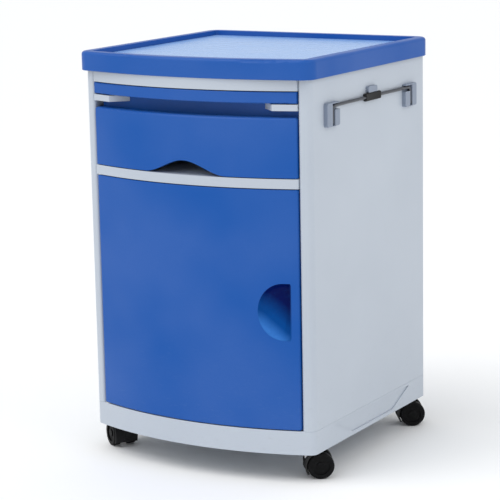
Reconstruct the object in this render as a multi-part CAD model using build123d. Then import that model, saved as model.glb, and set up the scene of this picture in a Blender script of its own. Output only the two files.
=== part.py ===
"""Bedside cabinet for a hospital ward: moulded ABS shell on four twin-wheel castors.

Millimetres. +Z is up, -Y is the bowed front and +X is the right-hand side seen from the front.
The origin is on the floor, under the centre of the top tray's outline.
"""

import os
from math import sqrt

from build123d import *

os.makedirs("parts", exist_ok=True)

# ---- overall -------------------------------------------------------------------------------
HEIGHT = 750.0
TRAY_HALF = 240.0  # half width of the top tray
TRAY_FRONT = -250.0  # middle of the tray's bowed front
TRAY_BACK = 250.0
TRAY_SAG = 36.0  # how far the tray's corners lie behind the middle of its front
BODY_HALF = 232.0
BODY_FRONT = -247.0
BODY_BACK = 244.0
BODY_SAG = 45.0

TRAY_RIM = 20.0  # width of the tray's raised rim
TRAY_CORNER = 26.0

# ---- levels --------------------------------------------------------------------------------
BASE_BOTTOM = 53.0
BASE_TOP = 96.0
DECK_BOTTOM = 527.5  # divider between cupboard and drawer
DECK_TOP = 544.5
DRAWER_TOP = 650.0
MID_RAIL_BOTTOM = 662.0
MID_RAIL_TOP = 673.0
TOP_RAIL_BOTTOM = 696.0
BODY_TOP = 715.5
TRAY_FLOOR = 738.0
SHELF_BOTTOM = 305.0
SHELF_TOP = 309.0

# ---- shells and gaps -----------------------------------------------------------------------
WALL = 4.0
GAP = 1.5  # round every door, drawer and board front
OUTER_CORNER = 14.0  # rounding of the body's front corners, seen from above
REAR_CORNER = 12.0
POST = 22.0  # face width of the front posts
OPENING_HALF = BODY_HALF - POST
FRONT_HALF = OPENING_HALF - GAP
POST_BACK = -178.0
RAIL_DEPTH = 14.0
LINING_BACK = BODY_BACK - WALL  # inside face of the rear flanges
PANEL_FRONT = LINING_BACK - WALL  # inside face of the back panel
INSET_THICK = 3.0
PEG_R = 4.0
PEG_YS = (-140.0, 190.0)
TRAY_SCREW_X = 180.0
TRAY_SCREW_YS = (-120.0, 180.0)
SCREW_BLOCK = 12.0  # moulded blocks that take the door's and the drawer front's screws

# ---- door ----------------------------------------------------------------------------------
DOOR_DEPTH = 20.0
DOOR_BOTTOM = BASE_TOP + GAP
DOOR_TOP = DECK_BOTTOM - GAP
HINGE_ROUND = 6.0  # rounding of the hinge edge, centred on the pin
PIN_R = 2.0
BUSH_R = 4.5
RUNNING = 0.05  # radial clearance of pins that turn
GRIP_FLAT_X = 194.0  # straight side of the half-moon grip
GRIP_WIDE = 57.0
GRIP_HIGH = 102.0
GRIP_Z = 310.0
CUP_WALL = 2.5
CUP_DEPTH = 16.5
DOOR_SCREW_XS = (-185.0, -40.0, 40.0)
DOOR_SCREW_ZS = (DOOR_BOTTOM + 15, DOOR_TOP - 15)
STOP_FRONT = DOOR_DEPTH + 0.6  # the closed door's stops in the base and the deck
CATCH_X0 = 152.0
CATCH_X1 = 188.0
STRIKE_FRONT = -192.5
STRIKE_BACK = -191.0

# ---- drawer and pull-out board -------------------------------------------------------------
DRAWER_DEPTH = 18.0  # thickness of the drawer front
BOX_HALF = 196.0
BOX_BACK = 190.0
BOX_BOTTOM = 570.0
BOX_TOP = 640.0
BOX_WALL = 3.0
FLANGE_BOTTOM = 612.0
FLANGE_TOP = 618.0
FLANGE_HALF = 204.0
ARCH_HALF = 80.0
ARCH_HIGH = 24.0
DRAWER_SCREW_XS = (-150.0, -50.0, 50.0, 150.0)
DRAWER_SCREW_Z = 605.0
SCOOP_FRONT_HALF = 168.0  # finger recess in the crossbar under the board
SCOOP_BACK_HALF = 138.0
MID_RAIL_DEPTH = 52.0
LINER_FRONT = -205.0  # middle of the blue liner at the back of the recess
LINER_SAG = 13.5
LINER_HALF = 203.0
LINER_THICK = 2.5
LINER_BOTTOM = 644.0
BOARD_BOTTOM = 680.0
BOARD_TOP = 693.0
BOARD_HALF = 203.0
BOARD_BACK = 205.0
BOARD_LIP = 14.0
RUNNER_FRONT = -160.0
RUNNER_BACK = 230.0
SLIDE_GAP = 0.5

# ---- towel bails ---------------------------------------------------------------------------
BRACKET_THICK = 8.0
BRACKET_WIDE = 46.0
BRACKET_BOTTOM = 628.0
BRACKET_TOP = 670.0
BRACKET_YS = (-134.0, 169.0)
SLOT_WIDE = 9.0
BAIL_R = 3.0
BAIL_X = BODY_HALF + 4.3  # plane of the folded bail
BAIL_PIVOT_Z = 634.0
BAIL_BAR_Z = 663.5
BAIL_STUB = 14.0
GRIP_LONG = 56.0

# ---- castors -------------------------------------------------------------------------------
CASTOR_X = 196.0
CASTOR_FRONT_Y = -166.0
CASTOR_REAR_Y = 204.0
CASTOR_YAW = 35.0  # direction of the trail, up from the +X axis on the right-hand side
TRAIL = 22.0
WHEEL_R = 24.0
WHEEL_WIDE = 16.0
WHEEL_INNER = 7.0  # from the castor's middle plane to a wheel's inner face
AXLE_R = 3.0
STEM_R = 4.0
NECK_R = 6.0
NECK_BOTTOM = 34.0
NECK_TOP = 57.0
PLATE_BOTTOM = 62.0
PLATE_TOP = 65.0
PLATE_HALF = 23.0
PLATE_SCREW = 17.0  # screw positions from the stem, both ways
CASTOR_BLOCK = 32.0  # half width of the base's castor blocks


# ---- helpers -------------------------------------------------------------------------------
def circle_through(front_y, sag, half_width):
    """Radius and centre of the bow that passes the front's middle and both corners."""
    radius = (half_width**2 + sag**2) / (2 * sag)
    return radius, front_y + radius


BODY_BOW = circle_through(BODY_FRONT, BODY_SAG, BODY_HALF)
TRAY_BOW = circle_through(TRAY_FRONT, TRAY_SAG, TRAY_HALF)
LINER_BOW = circle_through(LINER_FRONT, LINER_SAG, LINER_HALF)


def bow_y(x, inset=0.0, bow=BODY_BOW):
    """Y of the bowed front at x, moved inwards by inset."""
    radius, centre_y = bow
    return centre_y - sqrt((radius - inset) ** 2 - x**2)


def bow_plan(half_width, inset, back_y, front_round=0.0, back_round=0.0, bow=BODY_BOW):
    """Plan outline with a bowed front, straight sides and a straight back."""
    corner = bow_y(half_width, inset, bow)
    middle = bow_y(0, inset, bow)
    face = make_face(
        [
            ThreePointArc((-half_width, corner), (0, middle), (half_width, corner)),
            Line((half_width, corner), (half_width, back_y)),
            Line((half_width, back_y), (-half_width, back_y)),
            Line((-half_width, back_y), (-half_width, corner)),
        ]
    )
    if back_round:
        face = fillet(face.vertices().group_by(Axis.Y)[-1], back_round)
    if front_round:
        face = fillet(face.vertices().group_by(Axis.Y)[0], front_round)
    return face


def bow_band(x0, x1, front_inset, back_inset, bow=BODY_BOW):
    """Plan outline of a slab that follows a bow between two insets."""
    front = [(x, bow_y(x, front_inset, bow)) for x in (x0, (x0 + x1) / 2, x1)]
    back = [(x, bow_y(x, back_inset, bow)) for x in (x1, (x0 + x1) / 2, x0)]
    return make_face(
        [
            ThreePointArc(*front),
            Line(front[-1], back[0]),
            ThreePointArc(*back),
            Line(back[-1], front[0]),
        ]
    )


def prism(face, z0, z1):
    """Extrude a plan outline between two heights."""
    return extrude(Pos(0, 0, z0) * face, z1 - z0)


def prism_x(face, x0, x1):
    """Extrude an outline drawn in Y and Z from x0 to x1."""
    return extrude(Plane((x0, 0, 0), x_dir=(0, 1, 0), z_dir=(1, 0, 0)) * face, x1 - x0)


def prism_y(face, y0, y1):
    """Extrude an outline drawn in X and Z from y0 to y1."""
    return extrude(Plane((0, y1, 0), x_dir=(1, 0, 0), z_dir=(0, -1, 0)) * face, y1 - y0)


def block(x0, x1, y0, y1, z0, z1):
    """Box between two corners."""
    return Pos((x0 + x1) / 2, (y0 + y1) / 2, (z0 + z1) / 2) * Box(x1 - x0, y1 - y0, z1 - z0)


def rod(start, end, radius):
    """Round bar between two points."""
    path = Line(start, end)
    return extrude(Plane(path @ 0, z_dir=path % 0) * Circle(radius), path.length)


def polygon(points):
    """Face bounded by straight lines between the points."""
    return make_face(Polyline(points, close=True))


def round_edges(solid, axis, radius, keep=lambda edge: True):
    """Round the straight edges that run along an axis."""
    return fillet([edge for edge in solid.edges().filter_by(axis) if keep(edge)], radius)


def mirror_x(solid):
    """The same piece on the other side of the cabinet."""
    return mirror(solid, Plane.YZ)


def pan_head_screw(head, direction, length, radius=2.0):
    """Self-tapping screw: a low domed head against the surface at head, shank along direction."""
    dome = Pos(0, 0, -1.2) * Cylinder(2 * radius, 2.4)
    dome = fillet(dome.faces().sort_by(Axis.Z)[0].edges(), 1.0)
    shank = Pos(0, 0, length / 2) * Cylinder(radius, length)
    drive = Pos(0, 0, -2.4) * (Box(4.4, 0.9, 1.6) + Box(0.9, 4.4, 1.6))
    return Plane(head, z_dir=direction) * (dome + shank - drive)


def merge(solids):
    """One group of separate solids."""
    return Compound(children=[piece for solid in solids for piece in solid.solids()])


# ---- shell ---------------------------------------------------------------------------------
def body_outline(offset=0.0):
    """The cabinet's outer plan, or the same plan moved inwards by offset."""
    return bow_plan(
        BODY_HALF - offset,
        offset,
        BODY_BACK - offset,
        front_round=OUTER_CORNER - offset,
        back_round=REAR_CORNER - offset,
    )


def hinge_axis():
    """X and Y of the door's pins."""
    x = -FRONT_HALF + HINGE_ROUND
    return x, bow_y(x, HINGE_ROUND)


def castor_places():
    """Name, x, y and trail direction of each castor."""
    for end, y in (("front", CASTOR_FRONT_Y), ("rear", CASTOR_REAR_Y)):
        yield f"{end}_right", CASTOR_X, y, CASTOR_YAW
        yield f"{end}_left", -CASTOR_X, y, 180 - CASTOR_YAW


def base_screws():
    """Screws through the side panels' foot flanges into the base."""
    places = [(side * 220, y) for side in (-1, 1) for y in (-120, 40, 190)]
    return [pan_head_screw((x, y, BASE_TOP + WALL), (0, 0, -1), 14) for x, y in places]


def back_screws():
    """Screws through the rear flanges into the back panel."""
    places = [(side * 215, z) for side in (-1, 1) for z in (130, 330, 500, 690)]
    return [pan_head_screw((x, BODY_BACK, z), (0, -1, 0), 12) for x, z in places]


def tray_screws():
    """Screws up through the top deck into the tray's bosses."""
    places = [(side * TRAY_SCREW_X, y) for side in (-1, 1) for y in TRAY_SCREW_YS]
    return [pan_head_screw((x, y, BODY_TOP - WALL), (0, 0, 1), 14) for x, y in places]


def castor_screws():
    """Four screws up through each castor plate into the base."""
    screws = []
    for _, x, y, _ in castor_places():
        for dx in (-PLATE_SCREW, PLATE_SCREW):
            for dy in (-PLATE_SCREW, PLATE_SCREW):
                screws.append(pan_head_screw((x + dx, y + dy, PLATE_BOTTOM), (0, 0, 1), 14))
    return screws


def stop_plan():
    """Plan of the upstand that the closed door meets."""
    return bow_band(-150, OPENING_HALF - 4, STOP_FRONT, STOP_FRONT + WALL)


def side_relief():
    """Shallow trapezium pressed into the side of the base between the castors."""
    outline = polygon([(-60, 60), (102, 60), (172, 90), (-130, 90)])
    return prism_x(outline, BODY_HALF - 2.5, BODY_HALF + WALL)


def base_plinth():
    """Bottom moulding: deck, skirt, castor blocks, ribs and the lower hinge boss."""
    shell = prism(body_outline(), BASE_BOTTOM, BASE_TOP)
    rim = shell.faces().sort_by(Axis.Z)[-1].edges()
    shell = chamfer(rim, 0.8)
    cavity = prism(body_outline(WALL), BASE_BOTTOM, BASE_TOP - WALL)
    inside = Part() + prism(body_outline(WALL), PLATE_TOP, BASE_TOP - WALL)
    blocks = Part()
    for _, x, y, _ in castor_places():
        blocks += Pos(x, y, (PLATE_TOP + BASE_TOP) / 2) * Box(
            2 * CASTOR_BLOCK, 2 * CASTOR_BLOCK, BASE_TOP - PLATE_TOP
        )
    for y in (CASTOR_FRONT_Y, 20, CASTOR_REAR_Y):
        blocks += block(-BODY_HALF, BODY_HALF, y - 2, y + 2, PLATE_TOP, BASE_TOP)
    for x in (-90, 90):
        blocks += block(x - 2, x + 2, BODY_FRONT, BODY_BACK, PLATE_TOP, BASE_TOP)
    hinge_x, hinge_y = hinge_axis()
    blocks += Pos(hinge_x, hinge_y, 87) * Cylinder(9, 18)
    ribs = inside & blocks
    stop = prism(stop_plan(), BASE_TOP - WALL, BASE_TOP + 6)
    base = shell - cavity + ribs + stop
    base -= side_relief() + mirror_x(side_relief())
    base -= Pos(hinge_x, hinge_y, 90) * Cylinder(BUSH_R, 12.0)
    for _, x, y, _ in castor_places():
        base -= Pos(x, y, PLATE_TOP + 1.5) * Cylinder(7, 3)
    return base - base_screws() - castor_screws()


def side_panel():
    """Right-hand side: outer skin with its front post, rear flange and foot flange."""
    ring = body_outline() - body_outline(WALL)
    skin = ring & Pos(BODY_HALF - POST / 2, 0) * Rectangle(POST, 600)
    corner_y = bow_y(OPENING_HALF)
    jamb = Pos(OPENING_HALF + WALL / 2, (corner_y + POST_BACK) / 2 + 1) * Rectangle(
        WALL, POST_BACK - corner_y - 2
    )
    rear = Pos((OPENING_HALF + BODY_HALF) / 2 - 1, POST_BACK - WALL / 2) * Rectangle(POST - 2, WALL)
    plan = skin + jamb + rear
    edge = plan.vertices().sort_by_distance((OPENING_HALF, corner_y, 0))[0]
    plan = fillet(edge, 5)
    panel = prism(plan, BASE_TOP, BODY_TOP)
    panel += block(208, BODY_HALF - 2, POST_BACK, RUNNER_BACK, BASE_TOP, BASE_TOP + WALL)
    panel -= shelf_pegs()
    return panel - base_screws() - back_screws()


def deck_plan():
    """Outline of a deck that fills the shell behind the posts and the opening between them."""
    front = bow_plan(OPENING_HALF, 0, 0)
    depth = PANEL_FRONT - POST_BACK
    rear = Pos(0, POST_BACK + depth / 2) * Rectangle(2 * (BODY_HALF - WALL), depth)
    return front + fillet(rear.vertices().group_by(Axis.Y)[-1], REAR_CORNER - 2)


def drawer_deck():
    """Floor over the cupboard, with the white rail between door and drawer."""
    deck = prism(deck_plan(), DECK_TOP - WALL, DECK_TOP)
    deck += prism(bow_band(-OPENING_HALF, OPENING_HALF, 0, RAIL_DEPTH), DECK_BOTTOM, DECK_TOP)
    for x in (-120, 0, 120):
        deck += block(x - 2, x + 2, -200, PANEL_FRONT, DECK_TOP - 13, DECK_TOP)
    deck += prism(stop_plan(), DECK_BOTTOM - 6, DECK_TOP)
    deck += block(CATCH_X0 - 4, CATCH_X1 + 4, -189, -162, 524, DECK_TOP - 1)
    hinge_x, hinge_y = hinge_axis()
    deck += (Pos(hinge_x, hinge_y, 536) * Cylinder(9, 17)) & prism(
        deck_plan(), DECK_BOTTOM, DECK_TOP
    )
    return deck - Pos(hinge_x, hinge_y, 533.5) * Cylinder(BUSH_R, 12.0)


def mid_rail():
    """White crossbar under the pull-out board, cut away in the middle for the fingers."""
    plan = bow_band(-OPENING_HALF, OPENING_HALF, 0, MID_RAIL_DEPTH)
    half, deep = SCOOP_FRONT_HALF, SCOOP_BACK_HALF
    deep_y = bow_y(deep, LINER_THICK, LINER_BOW)
    scoop = make_face(
        [
            Line((-half, bow_y(half)), (-deep, deep_y)),
            ThreePointArc((-deep, deep_y), (0, LINER_FRONT + LINER_THICK), (deep, deep_y)),
            Line((deep, deep_y), (half, bow_y(half))),
            Polyline(
                (half, bow_y(half)), (half, TRAY_FRONT), (-half, TRAY_FRONT), (-half, bow_y(half))
            ),
        ]
    )
    return prism(plan - scoop, MID_RAIL_BOTTOM, MID_RAIL_TOP)


def recess_liner():
    """Blue liner at the back of the finger recess, hanging down behind the drawer front."""
    plan = bow_band(-LINER_HALF, LINER_HALF, 0, LINER_THICK, bow=LINER_BOW)
    return prism(plan, LINER_BOTTOM, MID_RAIL_TOP) - mid_rail()


def top_deck():
    """Deck under the tray with the white top rail and the stiffening ribs."""
    deck = prism(deck_plan(), BODY_TOP - WALL, BODY_TOP)
    deck += prism(bow_band(-OPENING_HALF, OPENING_HALF, 0, RAIL_DEPTH), TOP_RAIL_BOTTOM, BODY_TOP)
    for x in (-140, -47, 47, 140):
        deck += block(x - 2, x + 2, -200, PANEL_FRONT, BODY_TOP - 12, BODY_TOP)
    return deck - tray_screws()


def tray_outline(offset):
    """Plan of the tray moved inwards by offset."""
    return bow_plan(
        TRAY_HALF - offset,
        offset,
        TRAY_BACK - offset,
        front_round=TRAY_CORNER - offset,
        back_round=TRAY_CORNER - offset,
        bow=TRAY_BOW,
    )


def top_tray():
    """Blue tray with a raised hollow rim round a sunk floor."""
    tray = prism(tray_outline(0), BODY_TOP, HEIGHT)
    tray = fillet(tray.faces().sort_by(Axis.Z)[-1].edges(), 6)
    tray = fillet(tray.faces().sort_by(Axis.Z)[0].edges(), 1.5)
    tray -= prism(tray_outline(TRAY_RIM), TRAY_FLOOR, HEIGHT)
    tray -= prism(tray_outline(WALL), BODY_TOP, TRAY_FLOOR - WALL)
    hollow = tray_outline(WALL) - tray_outline(TRAY_RIM - WALL)
    tray -= prism(hollow, BODY_TOP, HEIGHT - 8)
    for side in (-1, 1):
        for y in TRAY_SCREW_YS:
            x = side * TRAY_SCREW_X
            tray += rod((x, y, BODY_TOP), (x, y, TRAY_FLOOR), 6)
        tray += block(side * 60 - 2, side * 60 + 2, -235, 245, BODY_TOP + 6, TRAY_FLOOR - 1)
    return tray - tray_screws()


def tray_inset():
    """Pale wipe-clean panel on the tray's sunk floor."""
    panel = prism(tray_outline(TRAY_RIM + 0.3), TRAY_FLOOR, TRAY_FLOOR + INSET_THICK)
    return fillet(panel.faces().sort_by(Axis.Z)[-1].edges(), 1.0)


def back_panel():
    """Rear sheet with three pressed stiffening fields."""
    half = BODY_HALF - REAR_CORNER
    panel = block(-half, half, PANEL_FRONT, LINING_BACK, BASE_TOP, BODY_TOP - WALL)
    for z0, z1 in ((130, 300), (320, 490), (510, 680)):
        field = round_edges(block(-180, 180, LINING_BACK - 1.5, LINING_BACK + 1, z0, z1), Axis.Y, 12)
        panel -= field
    return panel - back_screws()


def cupboard_shelf():
    """Loose shelf with a turned-down front lip, resting on four pegs."""
    half = BODY_HALF - WALL - 1
    front = POST_BACK + 6
    shelf = block(-half, half, front, PANEL_FRONT - 1, SHELF_BOTTOM, SHELF_TOP)
    shelf += block(-half + 10, half - 10, front, front + WALL, SHELF_BOTTOM - 17, SHELF_TOP)
    for y in (-60, 60, 180):
        shelf += block(-half + 16, half - 16, y - 2, y + 2, SHELF_BOTTOM - 10, SHELF_TOP - 2)
    return round_edges(shelf, Axis.X, 1.2, keep=lambda edge: edge.center().Y < front + 0.1)


def shelf_pegs():
    """Four plug-in pegs under the shelf."""
    z = SHELF_BOTTOM - PEG_R
    tip, root = BODY_HALF - 16, BODY_HALF - 1.5
    places = [(side, y) for side in (-1, 1) for y in PEG_YS]
    return merge([rod((side * tip, y, z), (side * root, y, z), PEG_R) for side, y in places])


# ---- door ----------------------------------------------------------------------------------
def door_plan(offset, depth):
    """Plan of the door, or of its hollow, with the hinge edge rounded about the pin."""
    face = bow_band(-FRONT_HALF + offset, FRONT_HALF - offset, offset, depth)
    hinge_edge = face.vertices().sort_by_distance((-FRONT_HALF, BODY_FRONT, 0))[0]
    face = fillet(hinge_edge, HINGE_ROUND - offset)
    free_edge = face.vertices().sort_by_distance((FRONT_HALF, BODY_FRONT, 0))[0]
    return fillet(free_edge, max(4 - offset, 1))


def grip_outline(offset):
    """Half-moon in X and Z: straight on the right, rounded on the left."""
    x = GRIP_FLAT_X - offset
    left = GRIP_FLAT_X - GRIP_WIDE + offset
    high = GRIP_HIGH / 2 - offset
    straight = x - 12
    return make_face(
        [
            Line((straight, GRIP_Z + high), (x, GRIP_Z + high)),
            Line((x, GRIP_Z + high), (x, GRIP_Z - high)),
            Line((x, GRIP_Z - high), (straight, GRIP_Z - high)),
            EllipticalCenterArc(
                (straight, GRIP_Z), straight - left, high, start_angle=90, arc_size=180
            ),
        ]
    )


def grip_block(offset, front_inset, back_inset):
    """The half-moon outline cut to a slab that follows the bow."""
    slab = prism(bow_band(90, FRONT_HALF - 6, front_inset, back_inset), 200, 420)
    return prism_y(grip_outline(offset), -300, -150) & slab


def door_screws():
    """Screws through the liner into the door's corner blocks."""
    places = [(x, bow_y(x, DOOR_DEPTH) + 0.6, z) for x in DOOR_SCREW_XS for z in DOOR_SCREW_ZS]
    return [pan_head_screw(place, (0, -1, 0), 12) for place in places]


def door_outer():
    """Blue outer moulding of the door: a bowed pan with blocks for the pins and screws."""
    door = prism(door_plan(0, DOOR_DEPTH), DOOR_BOTTOM, DOOR_TOP)
    ends = door.faces().filter_by(Axis.Z)
    front_rims = [
        edge
        for face in ends
        for edge in face.edges().filter_by(GeomType.CIRCLE)
        if edge.center().Y < bow_y(0, 10)
    ]
    door = fillet(front_rims, 2.5)
    hollow = prism(door_plan(WALL, DOOR_DEPTH + 1), DOOR_BOTTOM + WALL, DOOR_TOP - WALL)
    solid_door = prism(door_plan(1, DOOR_DEPTH - 3), DOOR_BOTTOM + 2, DOOR_TOP - 2)
    blocks = Part()
    hinge_x, hinge_y = hinge_axis()
    for z in (DOOR_BOTTOM + 12, DOOR_TOP - 12):
        blocks += Pos(hinge_x, hinge_y + 3, z) * Box(14, 20, 24)
    for x in DOOR_SCREW_XS:
        for z in DOOR_SCREW_ZS:
            blocks += Pos(x, bow_y(x, 10), z) * Box(SCREW_BLOCK, 24, SCREW_BLOCK)
    door = door - hollow + (blocks & solid_door)
    door -= grip_block(0, -2, CUP_DEPTH)
    return door - hinge_pins() - door_screws()


def door_inner():
    """Pale liner that closes the back of the door, with the strike's block."""
    plan = bow_band(-FRONT_HALF + WALL, FRONT_HALF - WALL, DOOR_DEPTH - 3, DOOR_DEPTH)
    liner = prism(plan, DOOR_BOTTOM + WALL, DOOR_TOP - WALL)
    behind_skin = prism(bow_plan(FRONT_HALF, DOOR_DEPTH - 2, 0), 490, 520)
    liner += block(CATCH_X0, CATCH_X1, BODY_FRONT, STRIKE_FRONT + 0.5, 500, 518) & behind_skin
    return liner - door_screws() - strike_plate()


def strike_plate():
    """Steel plate that the magnet holds."""
    plate = block(CATCH_X0 + 3, CATCH_X1 - 3, STRIKE_FRONT, STRIKE_BACK, 502, 516)
    return round_edges(plate, Axis.Y, 2)


def grip_cup():
    """Moulded finger cup of the door, deepest at its straight side."""
    cup = grip_block(0, 0, CUP_DEPTH)
    floor_left = bow_y(GRIP_FLAT_X - GRIP_WIDE, 4.5)
    floor_right = bow_y(GRIP_FLAT_X, CUP_DEPTH - CUP_WALL)
    floor = polygon(
        [
            (GRIP_FLAT_X - GRIP_WIDE - 5, floor_left - 2),
            (GRIP_FLAT_X + 5, floor_right + 1),
            (GRIP_FLAT_X + 5, -300),
            (GRIP_FLAT_X - GRIP_WIDE - 5, -300),
        ]
    )
    hollow = prism_y(grip_outline(CUP_WALL), -300, -150) & prism(floor, 200, 420)
    return cup - hollow


def hinge_pins():
    """Two steel pins, pressed into the door and turning in the bushes."""
    x, y = hinge_axis()
    lower = rod((x, y, 84.5), (x, y, DOOR_BOTTOM + 16), PIN_R)
    upper = rod((x, y, DOOR_TOP - 16), (x, y, 539), PIN_R)
    return merge([lower, upper])


def hinge_bushes():
    """Two flanged nylon bushes, in the base and in the drawer deck."""
    x, y = hinge_axis()
    lower = rod((x, y, 84), (x, y, BASE_TOP), BUSH_R) + rod(
        (x, y, BASE_TOP), (x, y, BASE_TOP + 1), BUSH_R + 1
    )
    upper = rod((x, y, DECK_BOTTOM), (x, y, 539.5), BUSH_R) + rod(
        (x, y, DECK_BOTTOM - 1), (x, y, DECK_BOTTOM), BUSH_R + 1
    )
    bore = rod((x, y, 80), (x, y, 545), PIN_R + RUNNING)
    return merge([lower - bore, upper - bore])


def magnet_catch():
    """Magnetic catch under the drawer deck, facing the strike plate."""
    case = round_edges(block(CATCH_X0, CATCH_X1, STRIKE_BACK + 1.5, -164, 503, 524), Axis.Z, 2)
    for x in (160, 176):
        case += block(x, x + 4, STRIKE_BACK + 1, -180, 505, 514)
    return case


# ---- drawer --------------------------------------------------------------------------------
def arch_outline(offset):
    """Bell-shaped finger arch in the drawer front's bottom edge, drawn in X and Z."""
    half = ARCH_HALF + offset
    bottom = DECK_TOP + GAP
    top = bottom + ARCH_HIGH + offset
    curve = Spline(
        [(-half, bottom), (-half / 2, (bottom + top) / 2 + 1), (0, top),
         (half / 2, (bottom + top) / 2 + 1), (half, bottom)],
        tangents=[(1, 0.1), (1, -0.1)],
    )
    edge = Polyline((half, bottom), (half, bottom - 10), (-half, bottom - 10), (-half, bottom))
    return make_face([curve, edge])


def drawer_screws():
    """Screws from inside the box into the drawer front."""
    seat = DRAWER_DEPTH + BOX_WALL
    places = [(x, bow_y(x, seat) + 0.6, DRAWER_SCREW_Z) for x in DRAWER_SCREW_XS]
    return [pan_head_screw(place, (0, -1, 0), 12) for place in places]


def drawer_front():
    """Blue bowed drawer front with the finger arch."""
    bottom = DECK_TOP + GAP
    front = prism(bow_band(-FRONT_HALF, FRONT_HALF, 0, DRAWER_DEPTH), bottom, DRAWER_TOP)
    middle_y = bow_y(FRONT_HALF, DRAWER_DEPTH / 2)
    front = round_edges(front, Axis.Z, 3, keep=lambda edge: edge.center().Y < middle_y)
    top_rim = [
        edge
        for edge in front.faces().sort_by(Axis.Z)[-1].edges().filter_by(GeomType.CIRCLE)
        if edge.center().Y < bow_y(0, DRAWER_DEPTH / 2)
    ]
    front = fillet(top_rim, 5)
    hollow = prism(
        bow_band(-FRONT_HALF + WALL, FRONT_HALF - WALL, WALL, DRAWER_DEPTH + 1),
        bottom + WALL,
        DRAWER_TOP - WALL,
    )
    hollow -= prism_y(arch_outline(WALL), -300, -150)
    for x in DRAWER_SCREW_XS:
        place = Pos(x, bow_y(x, DRAWER_DEPTH / 2), DRAWER_SCREW_Z)
        hollow -= place * Box(SCREW_BLOCK, 26, SCREW_BLOCK)
    slab = prism(bow_band(-FRONT_HALF, FRONT_HALF, -1, DRAWER_DEPTH), bottom, DRAWER_TOP)
    front -= hollow & slab
    return front - prism_y(arch_outline(0), -300, -150) - drawer_screws()


def drawer_box():
    """Pale drawer tray with the flanges that ride in the runners."""
    plan = bow_plan(BOX_HALF, DRAWER_DEPTH, BOX_BACK, back_round=8)
    pocket = bow_plan(
        BOX_HALF - BOX_WALL, DRAWER_DEPTH + BOX_WALL, BOX_BACK - BOX_WALL, 4, back_round=5
    )
    box = prism(plan, BOX_BOTTOM, BOX_TOP) - prism(pocket, BOX_BOTTOM + BOX_WALL, BOX_TOP)
    for side in (-1, 1):
        x0, x1 = sorted((side * (BOX_HALF - 1), side * FLANGE_HALF))
        box += block(x0, x1, RUNNER_FRONT + 5, BOX_BACK - 10, FLANGE_BOTTOM, FLANGE_TOP)
    return box - drawer_screws()


def channel(inner, slot, z0, z1):
    """Right-hand runner: ledges below and above a slot, standing off the side skin."""
    outline = block(inner, BODY_HALF - WALL, RUNNER_FRONT, RUNNER_BACK, z0, z1)
    outline -= block(inner - 1, slot, RUNNER_FRONT - 1, RUNNER_BACK - 6, z0 + WALL, z1 - WALL)
    return outline - block(slot + 3, BODY_HALF - WALL - 3, -200, 300, z0 + 3, z1 - 3)


def drawer_runner():
    """Channel that carries the drawer's flange."""
    z0 = FLANGE_BOTTOM - SLIDE_GAP - WALL
    return channel(198, FLANGE_HALF + 1, z0, FLANGE_TOP + SLIDE_GAP + WALL)


def board_guide():
    """Channel that carries the edge of the pull-out board."""
    z0 = BOARD_BOTTOM - SLIDE_GAP - WALL
    return channel(194, BOARD_HALF + 1, z0, BOARD_TOP + SLIDE_GAP + WALL)


# ---- pull-out board ------------------------------------------------------------------------
def board_slab():
    """White pull-out board, ribbed underneath."""
    plan = bow_plan(BOARD_HALF, BOARD_LIP, BOARD_BACK)
    slab = prism(plan, BOARD_BOTTOM, BOARD_TOP)
    columns, rows = 4, 3
    x_pitch = (2 * BOARD_HALF - WALL) / columns
    y0, y1 = -195.0, BOARD_BACK - WALL
    y_pitch = (y1 - y0) / rows
    for column in range(columns):
        for row in range(rows):
            x = -BOARD_HALF + WALL + column * x_pitch
            y = y0 + row * y_pitch
            slab -= block(
                x, x + x_pitch - WALL, y, y + y_pitch - WALL, BOARD_BOTTOM - 1, BOARD_TOP - 3.5
            )
    return slab


def board_front():
    """Blue bowed edge of the board with a finger groove behind its lower lip."""
    plan = bow_band(-FRONT_HALF, FRONT_HALF, 0, BOARD_LIP)
    lip = prism(plan, MID_RAIL_TOP + GAP, TOP_RAIL_BOTTOM - GAP)
    rims = [
        edge
        for edge in lip.edges().filter_by(GeomType.CIRCLE)
        if edge.center().Y < bow_y(0, BOARD_LIP / 2)
    ]
    lip = fillet(rims, 2.5)
    return lip - prism(bow_band(-150, 150, 5, BOARD_LIP + 1), MID_RAIL_TOP, BOARD_BOTTOM + 6)


# ---- towel bails ---------------------------------------------------------------------------
def bail_path():
    """Centre line of the folded bail: pivot stubs, legs and bar."""
    front_y, rear_y = BRACKET_YS
    points = [
        (BAIL_X, front_y - BAIL_STUB, BAIL_PIVOT_Z),
        (BAIL_X, front_y, BAIL_PIVOT_Z),
        (BAIL_X, front_y, BAIL_BAR_Z),
        (BAIL_X, rear_y, BAIL_BAR_Z),
        (BAIL_X, rear_y, BAIL_PIVOT_Z),
        (BAIL_X, rear_y + BAIL_STUB, BAIL_PIVOT_Z),
    ]
    return FilletPolyline(*points, radius=[4, 8, 8, 4])


def towel_bail():
    """Bent stainless rod that folds up against the side and swings out to hold a towel."""
    path = bail_path()
    return sweep(Plane(path @ 0, z_dir=path % 0) * Circle(BAIL_R), path=path)


def bail_grip():
    """Dark finger grip clipped round the middle of the bar."""
    middle = sum(BRACKET_YS) / 2
    half_thick = BODY_HALF + BRACKET_THICK - BAIL_X - 0.1
    grip = Pos(BAIL_X, middle, BAIL_BAR_Z) * Box(2 * half_thick, GRIP_LONG, 14)
    grip = round_edges(grip, Axis.Y, 2.5)
    bar = rod((BAIL_X, middle - 40, BAIL_BAR_Z), (BAIL_X, middle + 40, BAIL_BAR_Z), BAIL_R)
    return grip - bar


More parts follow.
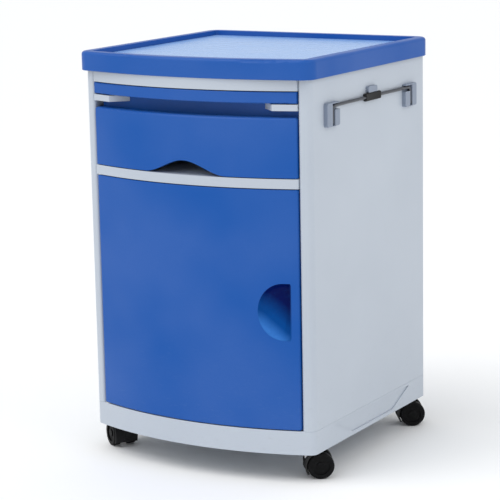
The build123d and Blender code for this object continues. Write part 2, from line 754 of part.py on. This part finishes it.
def towel_brackets():
    """The two slotted blocks that the right-hand bail folds into."""
    front_x = BODY_HALF + BRACKET_THICK
    blocks = []
    for y, inward in zip(BRACKET_YS, (1, -1)):
        bracket = block(
            BODY_HALF, front_x, y - BRACKET_WIDE / 2, y + BRACKET_WIDE / 2, BRACKET_BOTTOM,
            BRACKET_TOP,
        )
        bracket = round_edges(bracket, Axis.X, 4)
        outer_rim = bracket.faces().sort_by(Axis.X)[-1].edges()
        bracket = fillet(outer_rim, 1.5)
        slot_top = BAIL_BAR_Z + BAIL_R + 1
        bracket -= block(
            BODY_HALF + 0.5, front_x + 1, y - SLOT_WIDE / 2, y + SLOT_WIDE / 2,
            BAIL_PIVOT_Z - 5, slot_top,
        )
        notch_y = sorted((y, y + inward * (BRACKET_WIDE / 2 + 1)))
        bracket -= block(
            BODY_HALF + 0.5, front_x + 1, *notch_y, BAIL_BAR_Z - BAIL_R - 4, slot_top
        )
        stub = y - inward * (BAIL_STUB + 0.5)
        bracket -= rod((BAIL_X, y, BAIL_PIVOT_Z), (BAIL_X, stub, BAIL_PIVOT_Z), BAIL_R + RUNNING)
        blocks.append(bracket)
    return merge(blocks)


def bail_catch():
    """Small friction catch on the side skin, just above the grip."""
    middle = sum(BRACKET_YS) / 2
    z0 = BAIL_BAR_Z + 7.5
    catch = block(BODY_HALF, BODY_HALF + 6, middle - 17, middle + 17, z0, z0 + 11)
    return round_edges(catch, Axis.X, 3)


# ---- castors -------------------------------------------------------------------------------
def castor_plate():
    """Zinc top plate with the swivel race and its bore."""
    plate = round_edges(
        Pos(0, 0, (PLATE_BOTTOM + PLATE_TOP) / 2)
        * Box(2 * PLATE_HALF, 2 * PLATE_HALF, PLATE_TOP - PLATE_BOTTOM),
        Axis.Z,
        5,
    )
    plate += rod((0, 0, NECK_TOP + 0.5), (0, 0, PLATE_BOTTOM), 11)
    plate -= rod((0, 0, 50), (0, 0, 70), STEM_R + RUNNING)
    return plate


def castor_plates():
    """All four plates, screwed under the base."""
    plates = [Pos(x, y, 0) * castor_plate() for _, x, y, _ in castor_places()]
    return merge([plate - castor_screws() for plate in plates])


def castor_stem():
    """Stepped zinc-plated stem: pressed into the hood below, turning in the plate above."""
    stem = rod((0, 0, 21), (0, 0, PLATE_TOP + 2), STEM_R)
    return stem + rod((0, 0, NECK_BOTTOM), (0, 0, NECK_TOP), NECK_R)


def castor_hood():
    """Black nylon body: web between the wheels and the guard over their rear."""
    web = make_hull((Pos(TRAIL, WHEEL_R) * Circle(9)).edges() + (Pos(0, 22) * Circle(8)).edges())
    web += Pos(0, 28) * Rectangle(16, 2 * (NECK_BOTTOM - 28))
    hood = prism_y(web, -6, 6)
    guard = Pos(TRAIL, WHEEL_R) * (Circle(WHEEL_R + 4.5) - Circle(WHEEL_R + 1.5))
    guard &= Pos(TRAIL - 40, 29.5) * Rectangle(70, 41)
    hood += prism_y(guard, -WHEEL_INNER - WHEEL_WIDE + 1, WHEEL_INNER + WHEEL_WIDE - 1)
    hood -= rod((TRAIL, -10, WHEEL_R), (TRAIL, 10, WHEEL_R), AXLE_R)
    return hood - castor_stem()


def castor_axle():
    """Steel axle pressed through the web."""
    reach = WHEEL_INNER + WHEEL_WIDE - 2
    return rod((TRAIL, -reach, WHEEL_R), (TRAIL, reach, WHEEL_R), AXLE_R)


def castor_wheel(side):
    """One of the twin wheels: rounded tread, dished outer face and hub."""
    inner = side * WHEEL_INNER
    outer = side * (WHEEL_INNER + WHEEL_WIDE)
    wheel = rod((TRAIL, inner, WHEEL_R), (TRAIL, outer, WHEEL_R), WHEEL_R)
    wheel = fillet(wheel.edges().filter_by(GeomType.CIRCLE), 3)
    dish = rod((TRAIL, outer - side * 2.5, WHEEL_R), (TRAIL, outer + side, WHEEL_R), 16)
    hub = rod((TRAIL, outer - side * 3, WHEEL_R), (TRAIL, outer - side * 0.5, WHEEL_R), 7)
    wheel = wheel - dish + hub
    bore_end = outer - side * 1.5
    return wheel - rod((TRAIL, inner - side, WHEEL_R), (TRAIL, bore_end, WHEEL_R), AXLE_R + RUNNING)


# ---- nodes ---------------------------------------------------------------------------------
def nodes():
    """Every separate piece under its own name."""
    yield "base_plinth", base_plinth()
    yield "side_panel_right", side_panel()
    yield "side_panel_left", mirror_x(side_panel())
    yield "back_panel", back_panel()
    yield "drawer_deck", drawer_deck()
    yield "mid_rail", mid_rail()
    yield "recess_liner", recess_liner()
    yield "top_deck", top_deck()
    yield "top_tray", top_tray()
    yield "tray_inset", tray_inset()
    yield "cupboard_shelf", cupboard_shelf()
    yield "shelf_pegs", shelf_pegs()
    yield "panel_screws", merge(base_screws() + back_screws() + tray_screws())
    yield "door_outer", door_outer()
    yield "door_inner", door_inner()
    yield "door_grip_cup", grip_cup()
    yield "door_screws", merge(door_screws())
    yield "door_hinge_pins", hinge_pins()
    yield "door_hinge_bushes", hinge_bushes()
    yield "door_strike_plate", strike_plate()
    yield "magnet_catch", magnet_catch()
    yield "drawer_front", drawer_front()
    yield "drawer_box", drawer_box()
    yield "drawer_screws", merge(drawer_screws())
    yield "board_slab", board_slab()
    yield "board_front", board_front()
    for name, make in (
        ("drawer_runner", drawer_runner),
        ("board_guide", board_guide),
        ("towel_brackets", towel_brackets),
        ("towel_bail", towel_bail),
        ("bail_grip", bail_grip),
        ("bail_catch", bail_catch),
    ):
        yield f"{name}_right", make()
        yield f"{name}_left", mirror_x(make())
    yield "castor_plates", castor_plates()
    yield "castor_screws", merge(castor_screws())
    for place, x, y, yaw in castor_places():
        at = Pos(x, y, 0) * Rot(0, 0, yaw)
        yield f"castor_hood_{place}", at * castor_hood()
        yield f"castor_stem_{place}", at * castor_stem()
        yield f"castor_axle_{place}", at * castor_axle()
        yield f"castor_wheel_a_{place}", at * castor_wheel(-1)
        yield f"castor_wheel_b_{place}", at * castor_wheel(1)


for node, shape in nodes():
    export_step(shape, f"parts/{node}.step")
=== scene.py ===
"""Looks of the ward bedside cabinet: camera, studio light, floor and moulded-plastic materials."""

import math

import bmesh
import bpy
from mathutils import Matrix, Vector


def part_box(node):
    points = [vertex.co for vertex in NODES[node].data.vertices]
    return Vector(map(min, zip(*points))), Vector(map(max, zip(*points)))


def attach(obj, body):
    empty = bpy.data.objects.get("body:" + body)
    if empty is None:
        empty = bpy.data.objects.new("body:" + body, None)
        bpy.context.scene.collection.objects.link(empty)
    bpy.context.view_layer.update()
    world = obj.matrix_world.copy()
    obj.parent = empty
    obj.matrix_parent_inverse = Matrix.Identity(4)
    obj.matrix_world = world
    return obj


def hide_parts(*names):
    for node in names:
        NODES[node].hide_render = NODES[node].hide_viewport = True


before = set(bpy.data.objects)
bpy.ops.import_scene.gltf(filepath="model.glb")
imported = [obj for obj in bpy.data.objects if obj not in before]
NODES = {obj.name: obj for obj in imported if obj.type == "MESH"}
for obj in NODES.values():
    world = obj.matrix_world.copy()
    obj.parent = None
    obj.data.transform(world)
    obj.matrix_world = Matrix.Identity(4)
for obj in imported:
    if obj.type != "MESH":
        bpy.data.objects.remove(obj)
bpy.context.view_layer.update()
PLACES = ("front_right", "front_left", "rear_right", "rear_left")


def add_object(name, data):
    """New object in the scene, at the origin."""
    thing = bpy.data.objects.new(name, data)
    bpy.context.scene.collection.objects.link(thing)
    return thing


# ---- camera, floor and light ---------------------------------------------------------------
def make_camera():
    """Camera a little above the tray, in front and to the right, with a long lens."""
    turn, pitch, roll = 0.5385, 0.1989, -0.0196
    focal_px, image_px = 1948.0, 500.0
    place = Vector((1.8240, -3.0773, 1.0863))
    forward = Vector(
        (
            -math.sin(turn) * math.cos(pitch),
            math.cos(turn) * math.cos(pitch),
            -math.sin(pitch),
        )
    )
    right = Vector((math.cos(turn), math.sin(turn), 0.0))
    up = right.cross(forward)
    side = right * math.cos(roll) + up * math.sin(roll)
    top = up * math.cos(roll) - right * math.sin(roll)
    data = bpy.data.cameras.new("camera")
    data.sensor_width = 36.0
    data.lens = focal_px / image_px * data.sensor_width
    data.clip_start = 0.1
    data.clip_end = 60.0
    camera = add_object("camera", data)
    basis = Matrix((side, top, -forward)).transposed()
    camera.matrix_world = Matrix.Translation(place) @ basis.to_4x4()
    bpy.context.scene.camera = camera


def area_light(name, place, target, size, power):
    """Rectangular lamp at a place, turned towards a target."""
    data = bpy.data.lights.new(name, "AREA")
    data.shape = "RECTANGLE"
    data.size, data.size_y = size
    data.energy = power
    light = add_object(name, data)
    direction = Vector(target) - Vector(place)
    facing = direction.to_track_quat("-Z", "Y").to_matrix().to_4x4()
    light.matrix_world = Matrix.Translation(place) @ facing


def sun_light(towards, strength, spread):
    """Broad soft sun that lights the floor evenly to the horizon."""
    data = bpy.data.lights.new("soft_sun", "SUN")
    data.energy = strength
    data.angle = math.radians(spread)
    light = add_object("soft_sun", data)
    light.matrix_world = Vector(towards).to_track_quat("Z", "Y").to_matrix().to_4x4()


def make_floor():
    """Large pale floor that meets the background at the horizon."""
    mesh = bpy.data.meshes.new("floor")
    half = 30.0
    corners = [(-half, -half, 0.0), (half, -half, 0.0), (half, half, 0.0), (-half, half, 0.0)]
    mesh.from_pydata(corners, [], [(0, 1, 2, 3)])
    floor = add_object("floor", mesh)
    material = bpy.data.materials.new("floor_pale")
    material.use_nodes = True
    shader = material.node_tree.nodes["Principled BSDF"]
    shader.inputs["Base Color"].default_value = (0.97, 0.97, 0.97, 1.0)
    shader.inputs["Roughness"].default_value = 0.75
    mesh.materials.append(material)


def make_studio():
    """Even white surroundings with a broad sun and two soft lamps."""
    scene = bpy.context.scene
    scene.view_settings.view_transform = "Standard"
    world = bpy.data.worlds.new("studio")
    world.use_nodes = True
    background = world.node_tree.nodes["Background"]
    background.inputs["Color"].default_value = (0.97, 0.985, 1.0, 1.0)
    background.inputs["Strength"].default_value = 0.80
    scene.world = world
    sun_light((-0.35, -0.45, 1.0), 0.95, 40.0)
    area_light("key", (-1.8, -2.6, 2.6), (0.0, -0.1, 0.5), (1.6, 1.6), 10.0)
    area_light("side_fill", (2.6, -0.6, 2.4), (0.2, 0.0, 0.55), (1.6, 1.6), 12.0)
    make_floor()


# ---- materials -----------------------------------------------------------------------------
class Graph:
    """Small helper that adds and links the nodes of one material."""

    def __init__(self, name):
        self.material = bpy.data.materials.new(name)
        self.material.use_nodes = True
        self.tree = self.material.node_tree
        self.shader = self.tree.nodes["Principled BSDF"]
        self.coords = self.tree.nodes.new("ShaderNodeTexCoord").outputs["Object"]

    def link(self, source, target):
        self.tree.links.new(source, target)

    def scaled(self, factors):
        """Object coordinates stretched by three factors."""
        node = self.tree.nodes.new("ShaderNodeMapping")
        node.inputs["Scale"].default_value = factors
        self.link(self.coords, node.inputs["Vector"])
        return node.outputs["Vector"]

    def noise(self, scale, detail=3.0, rough=0.5, vector=None):
        node = self.tree.nodes.new("ShaderNodeTexNoise")
        node.inputs["Scale"].default_value = scale
        node.inputs["Detail"].default_value = detail
        node.inputs["Roughness"].default_value = rough
        self.link(vector or self.coords, node.inputs["Vector"])
        return node.outputs["Fac"]

    def remap(self, value, low, high, to_low, to_high):
        node = self.tree.nodes.new("ShaderNodeMapRange")
        node.inputs["From Min"].default_value = low
        node.inputs["From Max"].default_value = high
        node.inputs["To Min"].default_value = to_low
        node.inputs["To Max"].default_value = to_high
        self.link(value, node.inputs["Value"])
        return node.outputs["Result"]

    def along(self, axis, low, high, to_low, to_high):
        """A value that follows the place along one axis, in metres."""
        node = self.tree.nodes.new("ShaderNodeSeparateXYZ")
        self.link(self.coords, node.inputs["Vector"])
        return self.remap(node.outputs[axis], low, high, to_low, to_high)

    def math(self, operation, first, second):
        node = self.tree.nodes.new("ShaderNodeMath")
        node.operation = operation
        for socket, value in zip(node.inputs, (first, second)):
            if isinstance(value, (int, float)):
                socket.default_value = value
            else:
                self.link(value, socket)
        return node.outputs["Value"]

    def mix(self, factor, first, second):
        """Blend two colours; either may be a colour or another node's output."""
        node = self.tree.nodes.new("ShaderNodeMix")
        node.data_type = "RGBA"
        self.link(factor, node.inputs["Factor"])
        for socket, value in zip((node.inputs["A"], node.inputs["B"]), (first, second)):
            if isinstance(value, tuple):
                socket.default_value = (*value, 1.0)
            else:
                self.link(value, socket)
        return node.outputs["Result"]

    def bump(self, layers):
        """Stack of height textures, each with its depth in metres."""
        normal = None
        for height, depth in layers:
            node = self.tree.nodes.new("ShaderNodeBump")
            node.inputs["Distance"].default_value = depth
            self.link(height, node.inputs["Height"])
            if normal:
                self.link(normal, node.inputs["Normal"])
            normal = node.outputs["Normal"]
        self.link(normal, self.shader.inputs["Normal"])

    def set(self, **values):
        for name, value in values.items():
            self.shader.inputs[name.replace("_", " ")].default_value = value


def mix_colors(first, second, share):
    return tuple(a * (1 - share) + b * share for a, b in zip(first, second))


def moulded(name, color, rough, grain=0.00003, tint=0.06, dust=(0.30, 0.30, 0.31), specular=0.5):
    """Moulded plastic: fine spark-eroded grain, slight flow marks, rubbed scuffs low down."""
    g = Graph(name)
    darker = mix_colors(color, (0.0, 0.0, 0.0), tint)
    lighter = mix_colors(color, (1.0, 1.0, 1.0), tint * 0.7)
    flow = g.remap(g.noise(5.0, 2.0), 0.35, 0.65, 0.0, 1.0)
    cloud = g.mix(flow, darker, lighter)
    speck = g.remap(g.noise(420.0, 2.0, 0.6), 0.45, 0.75, 0.0, 0.25)
    body = g.mix(speck, cloud, darker)
    low_down = g.along("Z", 0.04, 0.30, 0.5, 0.04)
    scuffs = g.remap(g.noise(60.0, 6.0, 0.7, g.scaled((1.0, 1.0, 3.5))), 0.58, 0.74, 0.0, 1.0)
    worn = g.math("MULTIPLY", scuffs, low_down)
    g.link(g.mix(worn, body, mix_colors(color, dust, 0.5)), g.shader.inputs["Base Color"])
    polish = g.remap(g.noise(11.0, 4.0), 0.3, 0.7, rough - 0.05, rough + 0.06)
    g.link(g.math("ADD", polish, g.math("MULTIPLY", worn, 0.25)), g.shader.inputs["Roughness"])
    g.bump([(g.noise(1100.0, 2.0, 0.6), grain), (g.noise(9.0, 1.0), 0.0001)])
    g.set(Specular_IOR_Level=specular)
    return g.material


def cup_painted_shade(name, lip_painted_highlight, middle, roof_painted_shade):
    """Polished blue of the finger cup with painted light: painted darker than the door as shade,
    with a painted highlight on its lower lip and painted shade darkest under its roof.
    """
    g = Graph(name)
    low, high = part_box("door_grip_cup")
    # Painted shade ramp: it grows towards the top and the right of the cup, where the cup lies in
    # shade.
    rise = g.along("Z", low.z, high.z, 0.0, 0.75)
    reach = g.along("X", low.x, high.x, 0.0, 0.35)
    painted_shade_ramp = g.math("ADD", rise, reach)
    lower = g.mix(g.remap(painted_shade_ramp, 0.24, 0.40, 0.0, 1.0), lip_painted_highlight, middle)
    body = g.mix(g.remap(painted_shade_ramp, 0.46, 0.72, 0.0, 1.0), lower, roof_painted_shade)
    rubbed = g.remap(g.noise(160.0, 4.0, 0.6), 0.5, 0.8, 0.0, 0.2)
    g.link(g.mix(rubbed, body, middle), g.shader.inputs["Base Color"])
    g.link(g.remap(g.noise(30.0, 3.0), 0.3, 0.7, 0.30, 0.42), g.shader.inputs["Roughness"])
    g.bump([(g.noise(1100.0, 2.0, 0.6), 0.00002)])
    g.set(Specular_IOR_Level=0.05)
    return g.material


def wipe_clean_panel(name, color):
    """Smooth laminated panel of the tray with faint wiping marks."""
    g = Graph(name)
    streaks = g.noise(22.0, 5.0, 0.65, g.scaled((0.5, 6.0, 1.0)))
    wiped = g.remap(streaks, 0.45, 0.75, 0.0, 0.10)
    base = g.mix(wiped, color, mix_colors(color, (1.0, 1.0, 1.0), 0.35))
    cloud = g.remap(g.noise(4.0, 2.0), 0.35, 0.65, 0.0, 0.16)
    clouded = mix_colors(color, (0.1, 0.25, 0.6), 0.3)
    g.link(g.mix(cloud, base, clouded), g.shader.inputs["Base Color"])
    g.link(g.remap(streaks, 0.3, 0.7, 0.22, 0.34), g.shader.inputs["Roughness"])
    g.bump([(g.noise(800.0, 2.0), 0.00001), (streaks, 0.00002)])
    return g.material


def metal(name, color, rough, stretch, depth=0.00002):
    """Drawn or plated steel: fine lines along its length and a little tarnish."""
    g = Graph(name)
    lines = g.noise(500.0, 3.0, 0.6, g.scaled(stretch))
    tarnish = g.remap(g.noise(35.0, 4.0), 0.45, 0.75, 0.0, 0.35)
    dulled = mix_colors(color, (0.05, 0.045, 0.04), 0.4)
    g.link(g.mix(tarnish, color, dulled), g.shader.inputs["Base Color"])
    g.link(g.remap(lines, 0.3, 0.7, rough - 0.08, rough + 0.10), g.shader.inputs["Roughness"])
    g.bump([(lines, depth)])
    g.set(Metallic=1.0)
    return g.material


def tread(name, color):
    """Black polyurethane tread, greyed where it rolls."""
    g = Graph(name)
    floor_dust = g.remap(g.noise(240.0, 6.0, 0.75), 0.5, 0.78, 0.0, 0.4)
    g.link(g.mix(floor_dust, color, (0.045, 0.044, 0.043)), g.shader.inputs["Base Color"])
    g.link(g.remap(g.noise(90.0, 4.0), 0.3, 0.7, 0.42, 0.62), g.shader.inputs["Roughness"])
    g.bump([(g.noise(1500.0, 2.0), 0.00005)])
    g.set(Specular_IOR_Level=0.1)
    return g.material


def both_sides(name):
    return f"{name}_right", f"{name}_left"


def at_castors(name):
    return tuple(f"{name}_{place}" for place in PLACES)


def paint_nodes():
    """Give every CAD node its material."""
    shell = moulded("abs_shell_white", (0.48, 0.53, 0.60), 0.38, tint=0.025)
    blue = moulded(
        "abs_blue", (0.002, 0.085, 0.385), 0.38, tint=0.03, dust=(0.15, 0.25, 0.45), specular=0.22
    )
    # Finger cup with painted light: painted highlight on the lip, painted shade in the middle,
    # darkest painted shade under the roof.
    grip = cup_painted_shade(
        "abs_blue_grip_painted_shade",
        lip_painted_highlight=(0.035, 0.165, 0.520),
        middle=(0.001, 0.060, 0.270),
        roof_painted_shade=(0.0003, 0.006, 0.090),
    )
    inset = wipe_clean_panel("tray_panel_pale_blue", (0.24, 0.43, 0.78))
    liner = moulded("liner_pale_grey", (0.68, 0.70, 0.73), 0.5, tint=0.03)
    bracket = moulded("bracket_grey", (0.22, 0.265, 0.35), 0.40, tint=0.05)
    nylon = moulded(
        "nylon_black", (0.005, 0.005, 0.006), 0.55, 0.00006, dust=(0.04, 0.04, 0.04), specular=0.1
    )
    natural = moulded("nylon_natural", (0.72, 0.70, 0.64), 0.5, tint=0.04)
    rubber = tread("wheel_tread_black", (0.004, 0.004, 0.0045))
    stainless = metal("stainless_rod", (0.10, 0.105, 0.12), 0.34, (4.0, 0.08, 4.0))
    zinc = metal("zinc_steel", (0.52, 0.52, 0.54), 0.38, (1.0, 1.0, 1.0))
    by_node = {
        shell: (
            "base_plinth",
            *both_sides("side_panel"),
            "back_panel",
            "drawer_deck",
            "mid_rail",
            "top_deck",
            "cupboard_shelf",
        ),
        blue: ("recess_liner", "top_tray", "door_outer", "drawer_front", "board_front"),
        grip: ("door_grip_cup",),
        inset: ("tray_inset",),
        liner: (
            "door_inner",
            "drawer_box",
            "board_slab",
            *both_sides("drawer_runner"),
            *both_sides("board_guide"),
        ),
        bracket: (*both_sides("towel_brackets"), *both_sides("bail_catch")),
        nylon: (*both_sides("bail_grip"), *at_castors("castor_hood")),
        natural: ("door_hinge_bushes", "shelf_pegs", "magnet_catch"),
        rubber: (*at_castors("castor_wheel_a"), *at_castors("castor_wheel_b")),
        stainless: (*both_sides("towel_bail"), "door_hinge_pins"),
        zinc: (
            "panel_screws",
            "door_screws",
            "drawer_screws",
            "castor_plates",
            "castor_screws",
            "door_strike_plate",
            *at_castors("castor_stem"),
            *at_castors("castor_axle"),
        ),
    }
    for material, names in by_node.items():
        for name in names:
            mesh = NODES[name].data
            mesh.materials.clear()
            mesh.materials.append(material)
    painted = {name for names in by_node.values() for name in names}
    assert painted == set(NODES), painted ^ set(NODES)


# ---- finger cup of the door ----------------------------------------------------------------
BOW_RADIUS = 0.62054  # of the door's front, seen from above
CUP_DEPTH = 0.0150
CUP_WALL = 0.0012
CUP_STRAIGHT = 0.012  # straight ends of the outline, beside its upright edge
CUP_POINTS = 120  # round the outline
CUP_RINGS = 28  # from the outline to the deepest place
CUP_REACH = 0.96  # share of the way that the rings go
STEEP_POWER = 6.0  # how fast the wall falls at the top and on the right
SLOPE_POWER = 1.7  # how fast it falls on the lower left


def front_y(x):
    """Y of the door's bowed face at x."""
    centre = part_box("door_outer")[0].y + BOW_RADIUS
    return centre - math.sqrt(BOW_RADIUS**2 - x**2)


def half_moon():
    """Outline of the cup in X and Z, anticlockwise from its lower right corner."""
    low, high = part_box("door_grip_cup")
    middle = (low.z + high.z) / 2
    reach_z = (high.z - low.z) / 2
    shoulder = high.x - CUP_STRAIGHT
    straight = CUP_POINTS // 4
    curved = CUP_POINTS - straight
    points = []
    for i in range(straight):
        points.append((high.x, low.z + (high.z - low.z) * i / straight))
    points.append((high.x, high.z))
    for i in range(curved):
        angle = math.pi / 2 + math.pi * i / (curved - 1)
        x = shoulder + (shoulder - low.x) * math.cos(angle)
        points.append((x, middle + reach_z * math.sin(angle)))
    return points


def fall_power(across, up):
    """How fast the wall falls on a ray from the deepest place to the outline."""
    slope = min(max((-up / math.hypot(across, up) - 0.15) / 0.6, 0.0), 1.0)
    slope *= 1.0 if across < 0.009 else 0.4
    smooth = slope * slope * (3 - 2 * slope)
    return STEEP_POWER + (SLOPE_POWER - STEEP_POWER) * smooth


def cup_rings(mesh):
    """Rings of vertices from the outline inwards, each deeper than the last."""
    low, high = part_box("door_grip_cup")
    focus = (high.x - 0.013, (low.z + high.z) / 2 + 0.012)
    outline = half_moon()
    rings = []
    for number in range(CUP_RINGS + 1):
        t = number / CUP_RINGS * CUP_REACH
        ring = []
        for x0, z0 in outline:
            across = x0 - focus[0]
            up = z0 - focus[1]
            depth = CUP_DEPTH * (1 - (1 - t) ** fall_power(across, up))
            x = focus[0] + across * (1 - t)
            z = focus[1] + up * (1 - t)
            ring.append(mesh.verts.new((x, front_y(x) + depth, z)))
        rings.append(ring)
    return rings


def finger_cup(material):
    """Smooth bowl of the grip: steep at the top and right, a long slope below."""
    mesh = bmesh.new()
    rings = cup_rings(mesh)
    for outer, inner in zip(rings, rings[1:]):
        for i in range(len(outer)):
            j = (i + 1) % len(outer)
            mesh.faces.new((outer[i], outer[j], inner[j], inner[i]))
    mesh.faces.new(rings[-1])
    bmesh.ops.recalc_face_normals(mesh, faces=mesh.faces)
    for face in mesh.faces:
        face.smooth = True
    data = bpy.data.meshes.new("door_finger_cup")
    mesh.to_mesh(data)
    mesh.free()
    data.materials.append(material)
    cup = add_object("door_finger_cup", data)
    wall = cup.modifiers.new("wall", "SOLIDIFY")
    wall.thickness = CUP_WALL
    wall.offset = 1.0
    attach(cup, "door")
    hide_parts("door_grip_cup")


make_camera()
make_studio()
paint_nodes()
# The cup bowl gets the blue with painted shade and a painted highlight.
finger_cup(bpy.data.materials["abs_blue_grip_painted_shade"])
